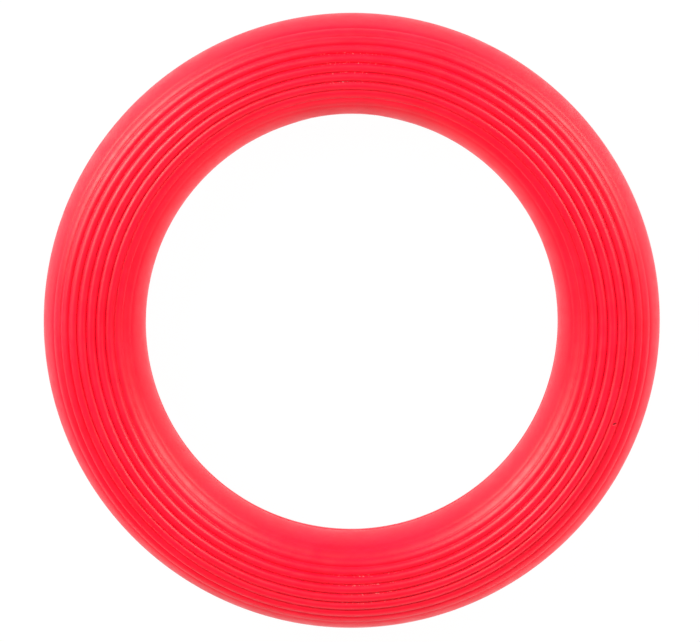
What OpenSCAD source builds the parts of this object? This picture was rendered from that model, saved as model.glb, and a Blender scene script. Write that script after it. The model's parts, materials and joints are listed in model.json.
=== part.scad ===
// Ribbed rubber flying ring: a hollow moulded ring that is thrown and caught by hand.
// Units are millimetres. The ring lies flat: +Z is its spin axis, and the origin is its centre.
// Angles called phi are measured round the ring's section, from the crown (+Z) towards the outside.

/* [Ring] */
// Outside diameter, across the trimmed seam lands
outer_d = 180; // [150:1:240]
// Diameter of the round section
section_d = 29.4; // [26:0.2:36]
// Thickness of the rubber wall
wall_t = 5; // [3.5:0.1:6]

/* [Grip ribs] */
// Grooves round each face, arranged evenly about the crown
groove_count = 10; // [4:2:12]
// Angle from one groove to the next, round the section
groove_pitch = 11.1; // [11:0.1:12]
// Depth of the deepest grooves, below the round of the section
groove_depth = 0.75; // [0.5:0.05:0.9]
// How far round the section from the crown they are half as deep
fade_phi = 36; // [30:1:42]
// Width of the flat that the ring rests on, along the crown rib
rest_w = 0.8; // [0.4:0.1:1]

/* [Seam] */
// Height of the flat land left where the seam is trimmed, across both shells
land_h = 2; // [1.2:0.1:2.6]
// Height of the seam strip's web, between the edges of the two shells
web_h = 0.5; // [0.3:0.1:0.8]
// Thickness of the seam strip where it laps the inside of both shells
lap_t = 1; // [0.6:0.1:1.5]
// How far the lap reaches round the section, each side of the seam
lap_phi = 18; // [12:1:24]

/* [Inflation plug] */
// Diameter of the self-sealing plug
plug_d = 8; // [6:0.5:10]
// Depth of its seat in the shell's inner wall
plug_seat = 1.6; // [1:0.1:2]
// How far it stands into the cavity
plug_proud = 3; // [2:0.5:4]
// Rib that it sits under, counted outwards from the crown
plug_rib = 2; // [0:1:3]
// Where it sits round the ring, from +X towards +Y
plug_turn = -19.5; // [-180:0.5:180]

/* [Hidden] */

rubber_red = "#f5304a";
seam_red = "#e02a42";
plug_gum = "#c8a070";

section_r = section_d / 2;
cavity_r = section_r - wall_t;
// Half the section's width once both its sides are trimmed to flat lands.
land_x = sqrt(pow(section_r, 2) - pow(land_h / 2, 2));
ring_r = outer_d / 2 - land_x;

// The solid rubber below the ribs, which meet above it.
core_r = section_r - 2 * groove_depth;
rib_half_w = section_r * sin(groove_pitch / 2);
last_rib = groove_count / 2 - 1;
// The smooth bands start at the outermost grooves, with a small step up from the last ribs.
band_phi = (last_rib + 1 / 2) * groove_pitch;
rest_z = section_r - rib_r(0) + sqrt(pow(rib_r(0), 2) - pow(rest_w / 2, 2));

plug_phi = plug_rib * groove_pitch;
plug_bevel = 1;
reach = 2 * section_r;
ring_facets = 180;
section_facets = 144;
rib_facets = 48;

// How far a rib at phi drops from its crest to the groove beside it: a little with the round of
// the section, and by the groove's depth, which fades away down both sides.
function rib_drop(phi) =
    section_r * (1 - cos(groove_pitch / 2))
    + groove_depth / (1 + pow(abs(phi) / fade_phi, 6));

// Radius of the round top of a rib at phi, which drops that far over half its width.
function rib_r(phi) = (pow(rib_half_w, 2) + pow(rib_drop(phi), 2)) / (2 * rib_drop(phi));

// Turns a section drawn about its own centre into the ring.
module swept_ring() {
    rotate_extrude($fn = ring_facets) translate([ring_r, 0]) children();
}

// Pie slice of the section from one phi to another, which are less than 180 degrees apart.
module slice(from_phi, to_phi) {
    mid_phi = (from_phi + to_phi) / 2;
    mid_reach = reach / cos((to_phi - from_phi) / 2);
    polygon([
        [0, 0],
        reach * [sin(from_phi), cos(from_phi)],
        mid_reach * [sin(mid_phi), cos(mid_phi)],
        reach * [sin(to_phi), cos(to_phi)],
    ]);
}

module rib_top(phi) {
    rotate(-phi) translate([0, section_r - rib_r(phi)]) circle(r = rib_r(phi), $fn = section_facets);
}

// Smooth side of the section, past the ribs and down to below the seam.
module smooth_band() {
    intersection() {
        circle(r = section_r, $fn = section_facets);
        slice(band_phi, 180 - band_phi);
    }
}

// Outer outline of one face of the ring, with its ribs on top.
module moulded_outline() {
    circle(r = core_r, $fn = section_facets);
    for (i = [-last_rib : last_rib]) rib_top(i * groove_pitch);
    smooth_band();
    mirror([1, 0]) smooth_band();
}

module cavity_outline() {
    circle(r = cavity_r, $fn = section_facets);
}

// Half of the section: the rubber above the web, within the lands and the flat on the crown rib.
module shell_outline() {
    intersection() {
        difference() {
            moulded_outline();
            cavity_outline();
        }
        translate([-land_x, web_h / 2]) square([2 * land_x, rest_z - web_h / 2]);
    }
}

// Moves a thing that is drawn up +Z from the section's centre to the plug's place in the wall.
module at_plug() {
    rotate([0, 0, plug_turn]) translate([ring_r, 0, 0]) rotate([0, plug_phi, 0]) children();
}

module plug_seat_cut() {
    at_plug() cylinder(h = cavity_r + plug_seat, d = plug_d, $fn = rib_facets);
}

module upper_shell() {
    color(rubber_red) difference() {
        swept_ring() shell_outline();
        plug_seat_cut();
    }
}

module lower_shell() {
    color(rubber_red) mirror([0, 0, 1]) swept_ring() shell_outline();
}

// Gum strip on the outer side: a web between the shells' edges, and a lap over both inside.
module seam_strip_outline() {
    translate([cavity_r - lap_t / 2, -web_h / 2]) square([land_x - cavity_r + lap_t / 2, web_h]);
    intersection() {
        difference() {
            cavity_outline();
            circle(r = cavity_r - lap_t, $fn = section_facets);
        }
        slice(90 - lap_phi, 90 + lap_phi);
    }
}

module outer_seam_strip() {
    color(seam_red) swept_ring() seam_strip_outline();
}

module inner_seam_strip() {
    color(seam_red) swept_ring() mirror([1, 0]) seam_strip_outline();
}

// Soft gum button in a seat inside the upper shell, with a bevelled inner end.
module inflation_plug() {
    color(plug_gum) at_plug() translate([0, 0, cavity_r - plug_proud]) {
        cylinder(h = plug_bevel, d1 = plug_d - 2 * plug_bevel, d2 = plug_d, $fn = rib_facets);
        translate([0, 0, plug_bevel])
            cylinder(h = plug_proud + plug_seat - plug_bevel, d = plug_d, $fn = rib_facets);
    }
}

upper_shell();
lower_shell();
outer_seam_strip();
inner_seam_strip();
inflation_plug();
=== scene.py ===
"""Looks for a ribbed rubber flying ring: two moulded shells, their seam strips and an inflation plug.

Each shell and strip is an outline of the ring's section swept round the spin axis, and the plug keeps
its CAD mesh. Lengths are in metres. phi is an angle round the section, from the crown (+Z) towards the
outside of the ring, and turn is an angle round the ring, from +X towards +Y. The lower shell is made
like the upper one and turned over.
"""
import json
import math

import bpy
import numpy as np
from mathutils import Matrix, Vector, noise


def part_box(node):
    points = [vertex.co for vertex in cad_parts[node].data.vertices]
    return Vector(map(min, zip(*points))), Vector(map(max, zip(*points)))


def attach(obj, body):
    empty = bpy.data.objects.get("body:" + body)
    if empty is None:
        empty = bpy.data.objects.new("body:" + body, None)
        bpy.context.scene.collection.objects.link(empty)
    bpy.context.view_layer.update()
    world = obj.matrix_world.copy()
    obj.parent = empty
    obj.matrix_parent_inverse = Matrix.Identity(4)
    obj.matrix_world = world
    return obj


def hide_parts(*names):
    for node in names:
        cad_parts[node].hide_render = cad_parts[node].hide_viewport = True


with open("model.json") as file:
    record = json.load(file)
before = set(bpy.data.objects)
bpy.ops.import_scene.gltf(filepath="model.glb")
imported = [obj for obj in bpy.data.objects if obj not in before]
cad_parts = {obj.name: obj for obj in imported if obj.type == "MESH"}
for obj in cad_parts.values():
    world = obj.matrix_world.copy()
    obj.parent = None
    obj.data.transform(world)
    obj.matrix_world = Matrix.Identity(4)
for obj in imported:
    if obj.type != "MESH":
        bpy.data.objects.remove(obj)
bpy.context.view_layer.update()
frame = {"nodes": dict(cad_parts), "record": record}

# ---------------------------------------------------------------- sizes from the frame

MM = 0.001
PEG_HOLE = next(m for m in frame["record"]["mounts"] if m["name"] == "peg_hole")["dims"]
SHELL_LOW, SHELL_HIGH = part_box("upper_shell")
PLUG_LOW, PLUG_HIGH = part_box("inflation_plug")

HOLE_R = PEG_HOLE["r_mm"] * MM
LAND_HALF_H = PEG_HOLE["length_mm"] * MM / 2
OUTER_R = SHELL_HIGH.x
REST_Z = SHELL_HIGH.z
WEB_HALF_H = SHELL_LOW.z
RING_R = (OUTER_R + HOLE_R) / 2
LAND_X = (OUTER_R - HOLE_R) / 2
SECTION_R = math.hypot(LAND_X, LAND_HALF_H)
PLUG_CENTRE = (PLUG_LOW + PLUG_HIGH) / 2
PLUG_TURN = math.atan2(PLUG_CENTRE.y, PLUG_CENTRE.x)

# Sizes of the moulding that the CAD model also has
WALL_T = 5 * MM
CAVITY_R = SECTION_R - WALL_T
GROOVES = 10
GROOVE_PITCH = math.radians(11.1)
GROOVE_PHIS = [(k + 0.5 - GROOVES / 2) * GROOVE_PITCH for k in range(GROOVES)]
LAP_T = 1 * MM
LAP_PHI = math.radians(18)
PLUG_RIB = 2
PLUG_PHI = PLUG_RIB * GROOVE_PITCH
PLUG_R = 4 * MM
PLUG_SEAT = 1.6 * MM

# A rib's round top, the slope of its sides, and how much lower it is cut towards the groove
CREST = 0.8 * MM
FLANK_SLOPE = math.tan(math.radians(36))
GROOVE_CUT = 0.46 * MM
GROOVE_CUT_POWER = 4
# Where the ribs are half as deep as at the crown, and where the smooth bands begin
FADE_PHI_OUTSIDE = math.radians(40)
FADE_PHI_INSIDE = math.radians(34)
FADE_POWER = 6
BAND_PHI = GROOVES / 2 * GROOVE_PITCH
# Height over which neighbouring ribs run into each other at the bottom of a groove
VALLEY_BLEND = 0.08 * MM

# A soft ring is never quite round: it is longer along LONG_TURN, and its section is thinner there
LONG_TURN = math.radians(84.5)
OUT_OF_ROUND = 0.56 * MM
THINNING = 0.009


# ---------------------------------------------------------------- small helpers

# Decimals kept when two lists of angles are merged, so that near-equal ones become one
TURN_DIGITS = 7
PHI_DIGITS = 6
# How far apart the places are from which neighbouring seeds take their noise
SEED_STEP = 7.31


def ring_noise(turns, phi, size, seed):
    """Smooth noise from -1 to 1 round the ring at one phi. size is how long its bumps are."""
    radius = RING_R + SECTION_R * math.sin(phi)
    height = SECTION_R * math.cos(phi)
    lift = Vector((0.0, 0.0, seed * SEED_STEP))
    return np.array([
        noise.noise(Vector((radius * math.cos(t), radius * math.sin(t), height)) / size + lift)
        for t in turns
    ])


def groove_noise(turns, size, seed):
    """Noise along each groove, as one row of values for each."""
    return np.array([ring_noise(turns, phi, size, seed + k) for k, phi in enumerate(GROOVE_PHIS)])


def soft_max(a, b, blend):
    """The larger of a and b, with the corner between them rounded over a height of blend."""
    gap = np.clip(0.5 + (a - b) / (2 * blend), 0, 1)
    return b + (a - b) * gap + blend * gap * (1 - gap)


def turns_round_ring(count, *finer):
    """Angles round the whole ring, with extra ones round each (centre, reach, steps) in finer."""
    turns = [i * 2 * math.pi / count for i in range(count)]
    for centre, reach, steps in finer:
        turns += list(np.linspace(centre - reach, centre + reach, steps + 1))
    return np.unique(np.round(np.mod(turns, 2 * math.pi), TURN_DIGITS))


def turn_from(centre, turns):
    """How far each turn is from centre, the shorter way round."""
    return (turns - centre + math.pi) % (2 * math.pi) - math.pi


def swept_mesh(name, rows, turns, marks=None):
    """Closed mesh from rows[i][j] = (x, z): outline point j at angle turns[i], x from the core circle.

    marks holds, by name, how much of a mark each point carries, for the material.
    """
    count, points = rows.shape[:2]
    stretch = np.cos(2 * (turns - LONG_TURN))[:, None]
    radius = RING_R + OUT_OF_ROUND * stretch + rows[:, :, 0] * (1 - THINNING * stretch)
    places = np.empty((count, points, 3))
    places[:, :, 0] = radius * np.cos(turns)[:, None]
    places[:, :, 1] = radius * np.sin(turns)[:, None]
    places[:, :, 2] = rows[:, :, 1]
    i, j = np.meshgrid(np.arange(count), np.arange(points), indexing="ij")
    next_i = (i + 1) % count
    next_j = (j + 1) % points
    corners = ((i, j), (i, next_j), (next_i, next_j), (next_i, j))
    faces = np.stack([row * points + column for row, column in corners], -1)
    mesh = bpy.data.meshes.new(name)
    mesh.from_pydata(places.reshape(-1, 3).tolist(), [], faces.reshape(-1, 4).tolist())
    mesh.validate()
    mesh.update()
    for mark, amounts in (marks or {}).items():
        mesh.attributes.new(mark, "FLOAT", "POINT").data.foreach_set("value", amounts.ravel())
    return mesh


def add_piece(name, mesh, material, node):
    """Puts a mesh in the scene as the piece that stands for one CAD node."""
    piece = bpy.data.objects.new(name, mesh)
    bpy.context.scene.collection.objects.link(piece)
    mesh.materials.append(material)
    mesh.shade_smooth()
    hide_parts(node)
    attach(piece, "root")


# ---------------------------------------------------------------- shells

# How finely the shells are sampled, and how much closer the steps come towards a groove's bottom
SHELL_TURNS = 400
STEPS_PER_RIB = 14
BAND_STEPS = 11
CAVITY_STEPS = 20
GROOVE_CROWDING = 1.35

# Rounding of the shells' edges where they meet the strips
EDGE_R = 0.12 * MM

# The mould's grooves waver from side to side, slowly and in small ripples, and vary in depth
WAVER = 0.045 * MM
WAVER_LENGTH = 14 * MM
RIPPLE = 0.02 * MM
RIPPLE_LENGTH = 2.6 * MM
RIPPLE_SEED = 30
DEPTH_SWING = 0.12
DEPTH_LENGTH = 3.5 * MM
DEPTH_SEED = 60
UPPER_SEED = 1
LOWER_SEED = 101

# The closed cut that the inflation needle left, over the plug
NICK_ANGLE = math.radians(40)
NICK_HALF_LONG = 0.55 * MM
NICK_HALF_WIDE = 0.22 * MM
NICK_DEPTH = 0.5 * MM
NICK_REACH = 0.7 * MM
NICK_STEPS = 14

# Where the mould was filled, the inner seam is trimmed a little deeper
GATE_TURN = math.radians(92)
GATE_REACH = math.radians(13)
GATE_TRIM = 0.5 * MM

# Talc from the mould stays in the middle grooves, on two sides of the ring
DUSTY_TURNS = (math.radians(91), math.radians(-87))
DUSTY_REACH = math.radians(6)
DUSTY_PHI = 2 * GROOVE_PITCH
DUST_HALF_WIDE = 0.25 * MM


def gate_trim(turns):
    """How much deeper the inner seam is trimmed at each turn."""
    return GATE_TRIM * np.exp(-(turn_from(GATE_TURN, turns) / GATE_REACH) ** 4)


def nick_shape(turn, phis):
    """1 in the middle of the nick, falling to 0 outside it."""
    along_ring = turn_from(PLUG_TURN, turn) * (RING_R + SECTION_R * math.sin(PLUG_PHI))
    down_section = (phis - PLUG_PHI) * SECTION_R
    along = down_section * math.cos(NICK_ANGLE) + along_ring * math.sin(NICK_ANGLE)
    across = along_ring * math.cos(NICK_ANGLE) - down_section * math.sin(NICK_ANGLE)
    return np.exp(-(along / NICK_HALF_LONG) ** 4 - (across / NICK_HALF_WIDE) ** 2)


def moulded_phis():
    """Angles that sample the moulded surface from the inner land to the outer land."""
    land_phi = math.acos(LAND_HALF_H / SECTION_R)
    phis = list(np.linspace(-land_phi, -BAND_PHI, BAND_STEPS, endpoint=False))
    for middle in GROOVE_PHIS:
        for step in range(STEPS_PER_RIB):
            # closest together at the bottom of the groove, where the surface turns fastest
            across = 2 * step / STEPS_PER_RIB - 1
            crowded = math.copysign(abs(across) ** GROOVE_CROWDING, across)
            phis.append(middle + GROOVE_PITCH / 2 * crowded)
    phis += list(np.linspace(BAND_PHI, land_phi, BAND_STEPS))
    nick_reach = NICK_REACH / SECTION_R
    phis += list(np.linspace(PLUG_PHI - nick_reach, PLUG_PHI + nick_reach, NICK_STEPS + 1))
    return np.unique(np.round(phis, PHI_DIGITS))


def ridge_drop(k, phi):
    """How far ridge k has fallen away at each phi: round crest, straight sides, steeper at the groove."""
    across = SECTION_R * np.abs(phi - k * GROOVE_PITCH)
    flanks = np.hypot(CREST, FLANK_SLOPE * across) - CREST
    half_pitch = SECTION_R * GROOVE_PITCH / 2
    groove = GROOVE_CUT * (across / half_pitch) ** GROOVE_CUT_POWER
    fade_phi = np.where(k > 0, FADE_PHI_OUTSIDE, FADE_PHI_INSIDE)
    return (flanks + groove) / (1 + (np.abs(k) * GROOVE_PITCH / fade_phi) ** FADE_POWER)


def moulded_radius(phi, deeper):
    """Distance from the section's centre to the moulded surface at each phi. deeper scales the grooves."""
    last = GROOVES / 2
    below = np.clip(np.floor(phi / GROOVE_PITCH), -last, last - 1)
    near = SECTION_R - deeper * ridge_drop(below, phi)
    far = SECTION_R - deeper * ridge_drop(below + 1, phi)
    ribbed = np.minimum(soft_max(near, far, VALLEY_BLEND), SECTION_R)
    return np.where(np.abs(phi) > BAND_PHI, SECTION_R, ribbed)


def cavity_phis():
    """Angles that sample the inner wall from the outer side to the inner, closest at the plug's seat."""
    web_phi = math.acos(WEB_HALF_H / CAVITY_R)
    seat_phi = PLUG_R / CAVITY_R
    whole = np.linspace(-web_phi, web_phi, CAVITY_STEPS)
    seat = np.linspace(PLUG_PHI - seat_phi, PLUG_PHI + seat_phi, CAVITY_STEPS)
    return np.unique(np.round(np.concatenate([whole, seat]), PHI_DIGITS))[::-1]


def cavity_radius(turn, phis):
    """Radius of the inner wall, which is cut back for the seat of the plug."""
    along_ring = turn_from(PLUG_TURN, turn) * (RING_R + CAVITY_R * math.sin(PLUG_PHI))
    from_plug = np.hypot(along_ring, (phis - PLUG_PHI) * (CAVITY_R + PLUG_SEAT))
    return np.where(from_plug < PLUG_R, CAVITY_R + PLUG_SEAT, CAVITY_R)


def shell_rows(turns, seed, has_plug):
    """Outline of the half section at each turn, with the small waver that moulding leaves."""
    outer_phis = moulded_phis()
    inner_phis = cavity_phis()
    waver = WAVER * groove_noise(turns, WAVER_LENGTH, seed)
    waver += RIPPLE * groove_noise(turns, RIPPLE_LENGTH, seed + RIPPLE_SEED)
    depth = DEPTH_SWING * groove_noise(turns, DEPTH_LENGTH, seed + DEPTH_SEED)
    trim = gate_trim(turns)
    rows = []
    for i, turn in enumerate(turns):
        shift = np.interp(outer_phis, GROOVE_PHIS, waver[:, i] / SECTION_R, left=0, right=0)
        radius = moulded_radius(outer_phis, 1 + np.interp(outer_phis, GROOVE_PHIS, depth[:, i]))
        cavity_r = np.full(len(inner_phis), CAVITY_R)
        if has_plug:
            radius -= NICK_DEPTH * nick_shape(turn, outer_phis)
            cavity_r = cavity_radius(turn, inner_phis)
        bent = outer_phis + shift * (np.abs(outer_phis) < BAND_PHI)
        inner_x = trim[i] - LAND_X
        x = np.clip(radius * np.sin(bent), inner_x, LAND_X)
        z = np.minimum(radius * np.cos(bent), REST_Z)
        inner_edge = [[inner_x + EDGE_R, WEB_HALF_H], [inner_x, WEB_HALF_H + EDGE_R]]
        outer_edge = [[LAND_X, WEB_HALF_H + EDGE_R], [LAND_X - EDGE_R, WEB_HALF_H]]
        cavity = np.stack([cavity_r * np.sin(inner_phis), cavity_r * np.cos(inner_phis)], -1)
        rows.append(np.concatenate([inner_edge, np.stack([x, z], -1), outer_edge, cavity]))
    return np.array(rows)


def groove_dust(turns, phi):
    """How much talc there is at each phi of each turn, from 0 to 1."""
    pitches = phi / GROOVE_PITCH
    from_groove = np.abs(pitches - np.floor(pitches) - 0.5) * GROOVE_PITCH * SECTION_R
    in_groove = np.exp(-(from_groove / DUST_HALF_WIDE) ** 2) * (np.abs(phi) < DUSTY_PHI)
    patches = sum(np.exp(-(turn_from(centre, turns) / DUSTY_REACH) ** 2) for centre in DUSTY_TURNS)
    return in_groove * patches[:, None]


def shell_mesh(name, seed, has_plug):
    """Upper shell, with the plug's seat and nick, or the lower shell without them."""
    if has_plug:
        nick = (PLUG_TURN, NICK_REACH / OUTER_R, NICK_STEPS)
        seat = (PLUG_TURN, PLUG_R / RING_R, CAVITY_STEPS)
        turns = turns_round_ring(SHELL_TURNS, nick, seat)
        rows = shell_rows(turns, seed, True)
    else:
        turns = turns_round_ring(SHELL_TURNS)
        rows = shell_rows(turns, seed, False)[:, ::-1] * (1, -1)
    phi = np.arctan2(rows[:, :, 0], np.abs(rows[:, :, 1]))
    marks = {"dust": groove_dust(turns, phi)}
    if has_plug:
        # The nick's mark is painted shade: it darkens the slit where its own shadow falls
        marks["painted_nick_shade"] = nick_shape(turns[:, None], phi)
    return swept_mesh(name, rows, turns, marks)


def add_shells(red):
    upper = "upper_shell_moulded"
    lower = "lower_shell_moulded"
    add_piece(upper, shell_mesh(upper, UPPER_SEED, True), red, "upper_shell")
    add_piece(lower, shell_mesh(lower, LOWER_SEED, False), red, "lower_shell")


# ---------------------------------------------------------------- seam strips

STRIP_TURNS = 360
LAP_POINTS = 17
FRONT_POINTS = 8

# The trimmed web lies a little deeper than the lands beside it, by a share of their rounding
SUNK_SHARE = 0.6
SUNK_SWING = 0.4
SUNK_LENGTH = 5 * MM
SUNK_SEED = 200

# A scrap of flash left standing on the inner seam
NIB_TURN = math.radians(84)
NIB_REACH = 0.6 * MM / HOLE_R
NIB_STEPS = 24
NIB_HALF_WIDE = 0.2 * MM
NIB_PROUD = 0.45 * MM


def strip_rows(side, turns):
    """Outline of a seam strip on side 1, outside, or -1, towards the hole."""
    lap = np.linspace(-LAP_PHI, LAP_PHI, LAP_POINTS)
    back = np.stack([(CAVITY_R - LAP_T) * np.cos(lap), (CAVITY_R - LAP_T) * np.sin(lap)], -1)
    web_phi = math.asin(WEB_HALF_H / CAVITY_R)
    upper = np.linspace(LAP_PHI, web_phi, FRONT_POINTS)
    front_up = np.stack([CAVITY_R * np.cos(upper), CAVITY_R * np.sin(upper)], -1)
    web = np.array([[LAND_X, WEB_HALF_H], [LAND_X, -WEB_HALF_H]])
    outline = np.concatenate([back, front_up, web, front_up[::-1] * (1, -1)])
    rows = np.repeat(outline[None], len(turns), 0)
    unevenness = ring_noise(turns, side * math.pi / 2, SUNK_LENGTH, SUNK_SEED + side)
    sunk = EDGE_R * (SUNK_SHARE + SUNK_SWING * unevenness)
    if side < 0:
        nib = np.exp(-(turn_from(NIB_TURN, turns) * HOLE_R / NIB_HALF_WIDE) ** 2)
        sunk += gate_trim(turns) - NIB_PROUD * nib
    web_at = len(back) + len(front_up)
    rows[:, web_at:web_at + len(web), 0] -= sunk[:, None]
    return rows if side > 0 else rows[:, ::-1] * (side, 1)


def add_seam_strips(seam_red):
    turns = turns_round_ring(STRIP_TURNS, (NIB_TURN, NIB_REACH, NIB_STEPS))
    for name, side, node in (
        ("outer_seam_gum", 1, "outer_seam_strip"),
        ("inner_seam_gum", -1, "inner_seam_strip"),
    ):
        mesh = swept_mesh(name, strip_rows(side, turns), turns)
        add_piece(name, mesh, seam_red, node)


# ---------------------------------------------------------------- materials

# Nearly all of a noise texture's values, and its peaks
NOISE_SPAN = (0.3, 0.7)
SPECK_SPAN = (0.6, 0.7)
# The two tones that each rubber wanders between, the talc on it, and the painted shade of the needle's
# nick
RED_TONES = (0.76, 0.0015, 0.024), (0.81, 0.0025, 0.03)
SEAM_TONES = (0.5, 0.003, 0.012), (0.58, 0.005, 0.016)
GUM_TONES = (0.52, 0.32, 0.14), (0.6, 0.4, 0.2)
TALC = (0.8, 0.3, 0.32)
# Painted shade: near black, standing in for the shadow inside the needle's deep, narrow nick
NICK_PAINTED_SHADE = (0.05, 0.001, 0.003)


def node_tree(name):
    """A new material, its node tree and its shader."""
    material = bpy.data.materials.new(name)
    material.use_nodes = True
    tree = material.node_tree
    return material, tree, tree.nodes["Principled BSDF"]


def noise_node(tree, scale, detail):
    coords = tree.nodes.new("ShaderNodeTexCoord")
    texture = tree.nodes.new("ShaderNodeTexNoise")
    texture.inputs["Scale"].default_value = scale
    texture.inputs["Detail"].default_value = detail
    tree.links.new(coords.outputs["Object"], texture.inputs["Vector"])
    return texture.outputs["Fac"]


def mapped(tree, value, span, low=0.0, high=1.0):
    """value, stretched so that span runs from low to high, and held at those outside span."""
    scale = tree.nodes.new("ShaderNodeMapRange")
    scale.inputs["From Min"].default_value = span[0]
    scale.inputs["From Max"].default_value = span[1]
    scale.inputs["To Min"].default_value = low
    scale.inputs["To Max"].default_value = high
    tree.links.new(value, scale.inputs["Value"])
    return scale.outputs["Result"]


def mark_on_mesh(tree, name):
    """How much of a mark the mesh carries, which is 0 where it has none."""
    carried = tree.nodes.new("ShaderNodeAttribute")
    carried.attribute_name = name
    return carried.outputs["Fac"]


def mixed(tree, amount, first, second):
    """first where amount is 0 and second where it is 1. first is a colour or a node's output."""
    mix = tree.nodes.new("ShaderNodeMix")
    mix.data_type = "RGBA"
    tree.links.new(amount, mix.inputs["Factor"])
    if isinstance(first, tuple):
        mix.inputs["A"].default_value = (*first, 1)
    else:
        tree.links.new(first, mix.inputs["A"])
    mix.inputs["B"].default_value = (*second, 1)
    return mix.outputs["Result"]


def speckled(tree, amount):
    """amount, broken up into specks."""
    both = tree.nodes.new("ShaderNodeMath")
    both.operation = "MULTIPLY"
    tree.links.new(amount, both.inputs[0])
    tree.links.new(mapped(tree, noise_node(tree, scale=1800, detail=1), SPECK_SPAN), both.inputs[1])
    return both.outputs["Value"]


def bump(tree, height, distance, strength, normal=None):
    node = tree.nodes.new("ShaderNodeBump")
    node.inputs["Distance"].default_value = distance
    node.inputs["Strength"].default_value = strength
    tree.links.new(height, node.inputs["Height"])
    if normal:
        tree.links.new(normal, node.inputs["Normal"])
    return node.outputs["Normal"]


def rubber(name, tones, smoothest, roughest):
    """Moulded rubber: slightly cloudy colour, talc in the grooves, painted shade in the needle's nick,
    uneven gloss, and a fine pebble in the surface.
    """
    material, tree, shader = node_tree(name)
    clouds = noise_node(tree, scale=90, detail=3)
    pebble = noise_node(tree, scale=1400, detail=2)
    ripple = noise_node(tree, scale=260, detail=2)
    cloudy = mixed(tree, mapped(tree, clouds, NOISE_SPAN), *tones)
    dusty = mixed(tree, speckled(tree, mark_on_mesh(tree, "dust")), cloudy, TALC)
    # Painted shade in the needle's nick, darkening the slit as its shadow would
    nick_shaded = mixed(tree, mark_on_mesh(tree, "painted_nick_shade"), dusty, NICK_PAINTED_SHADE)
    roughness = mapped(tree, ripple, NOISE_SPAN, smoothest, roughest)
    rippled = bump(tree, ripple, distance=0.25 * MM, strength=0.25)
    pebbled = bump(tree, pebble, distance=0.05 * MM, strength=0.35, normal=rippled)
    tree.links.new(nick_shaded, shader.inputs["Base Color"])
    tree.links.new(roughness, shader.inputs["Roughness"])
    tree.links.new(pebbled, shader.inputs["Normal"])
    shader.inputs["IOR"].default_value = 1.42
    shader.inputs["Subsurface Weight"].default_value = 0.1
    shader.inputs["Subsurface Radius"].default_value = (1.0, 0.25, 0.2)
    shader.inputs["Subsurface Scale"].default_value = 0.3 * MM
    return material


# ---------------------------------------------------------------- stage, lights and camera

FLOOR_HALF = 3.0


def add_floor():
    """White table that glows a little below full white, so that it shows no grey shadows."""
    corners = [(-1, -1), (1, -1), (1, 1), (-1, 1)]
    mesh = bpy.data.meshes.new("floor")
    mesh.from_pydata([(x * FLOOR_HALF, y * FLOOR_HALF, -REST_Z) for x, y in corners], [], [(0, 1, 2, 3)])
    floor = bpy.data.objects.new("floor", mesh)
    bpy.context.scene.collection.objects.link(floor)
    material, _, shader = node_tree("white_table")
    shader.inputs["Base Color"].default_value = (0.02, 0.02, 0.02, 1)
    shader.inputs["Roughness"].default_value = 0.25
    shader.inputs["Emission Color"].default_value = (1, 1, 1, 1)
    shader.inputs["Emission Strength"].default_value = 0.98
    mesh.materials.append(material)


def add_softbox(name, turn, off_axis, distance, size, radiance, colour):
    """Area light aimed at the ring. off_axis is its angle from straight above. Angles are in degrees."""
    turn = math.radians(turn)
    off_axis = math.radians(off_axis)
    width, height = size
    data = bpy.data.lights.new(name, "AREA")
    data.shape = "RECTANGLE"
    data.size = width
    data.size_y = height
    data.energy = radiance * math.pi * width * height
    data.color = colour
    lamp = bpy.data.objects.new(name, data)
    sideways = math.sin(off_axis)
    place = Vector((sideways * math.cos(turn), sideways * math.sin(turn), math.cos(off_axis)))
    lamp.location = place * distance
    lamp.rotation_euler = (off_axis, 0, turn + math.pi / 2)
    bpy.context.scene.collection.objects.link(lamp)


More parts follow.
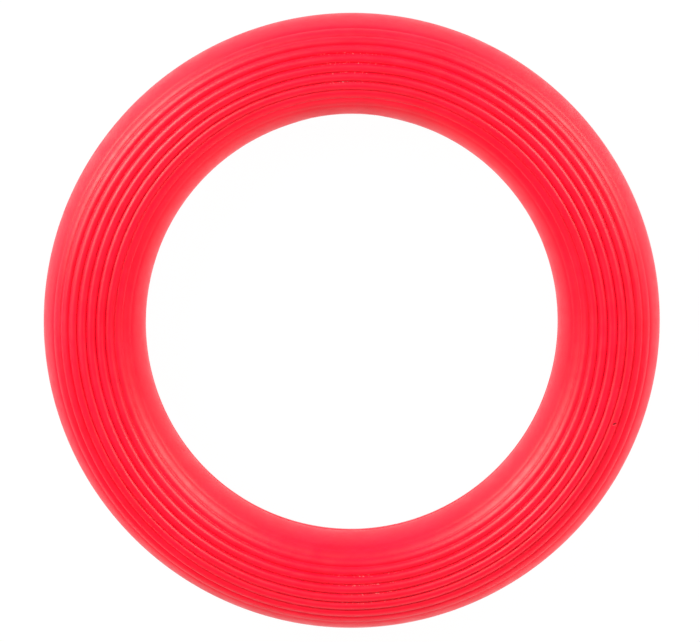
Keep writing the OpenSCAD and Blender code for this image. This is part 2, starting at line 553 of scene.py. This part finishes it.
def light_scene():
    """Two softboxes, the walls that they light up, and weaker fills from behind and in front."""
    world = bpy.data.worlds.new("studio")
    bpy.context.scene.world = world
    world.use_nodes = True
    background = world.node_tree.nodes["Background"]
    background.inputs["Color"].default_value = (1, 1, 1, 1)
    background.inputs["Strength"].default_value = 0.18
    warm = (1, 1, 0.86)
    warmer = (1, 0.92, 0.5)
    # the red light that a real table throws back up at the ring
    bounced = (1, 0.3, 0.35)
    # name, turn, angle from straight above, distance, size, radiance, colour
    for softbox in (
        ("softbox_left", 148, 56, 1.0, (0.55, 0.75), 12.0, warm),
        ("softbox_right", 32, 59, 1.0, (0.5, 0.7), 10.0, warm),
        ("wall_left", 150, 82, 1.3, (1.2, 0.35), 1.2, warmer),
        ("wall_right", 30, 82, 1.3, (1.0, 0.35), 0.5, warmer),
        ("fill_back", 90, 66, 1.2, (0.8, 0.5), 0.2, warm),
        ("fill_front", -75, 74, 1.2, (1.6, 0.9), 2.8, bounced),
    ):
        add_softbox(*softbox)
    bpy.context.scene.view_settings.view_transform = "Standard"


def add_camera():
    """Long lens, 0.9 m away, looking down on the ring from a little past its +Y edge."""
    data = bpy.data.cameras.new("camera")
    camera = bpy.data.objects.new("camera", data)
    tilt = math.radians(9.3)
    distance = 0.9
    data.lens = 159.0
    data.sensor_width = 36
    data.clip_end = 20
    # the photo is aimed a little off the ring's centre
    target = Vector((-0.5 * MM, 1.03 * MM, 0))
    away = Vector((0, math.sin(tilt), math.cos(tilt)))
    camera.location = target + away * distance
    camera.rotation_euler = (-tilt, 0, 0)
    bpy.context.scene.collection.objects.link(camera)
    bpy.context.scene.camera = camera


# ---------------------------------------------------------------- build

def build():
    add_camera()
    light_scene()
    add_floor()
    add_shells(rubber("red_rubber", RED_TONES, smoothest=0.37, roughest=0.47))
    add_seam_strips(rubber("seam_rubber", SEAM_TONES, smoothest=0.4, roughest=0.55))
    plug = frame["nodes"]["inflation_plug"]
    plug.data.materials.clear()
    plug.data.materials.append(rubber("plug_gum", GUM_TONES, smoothest=0.4, roughest=0.55))


build()
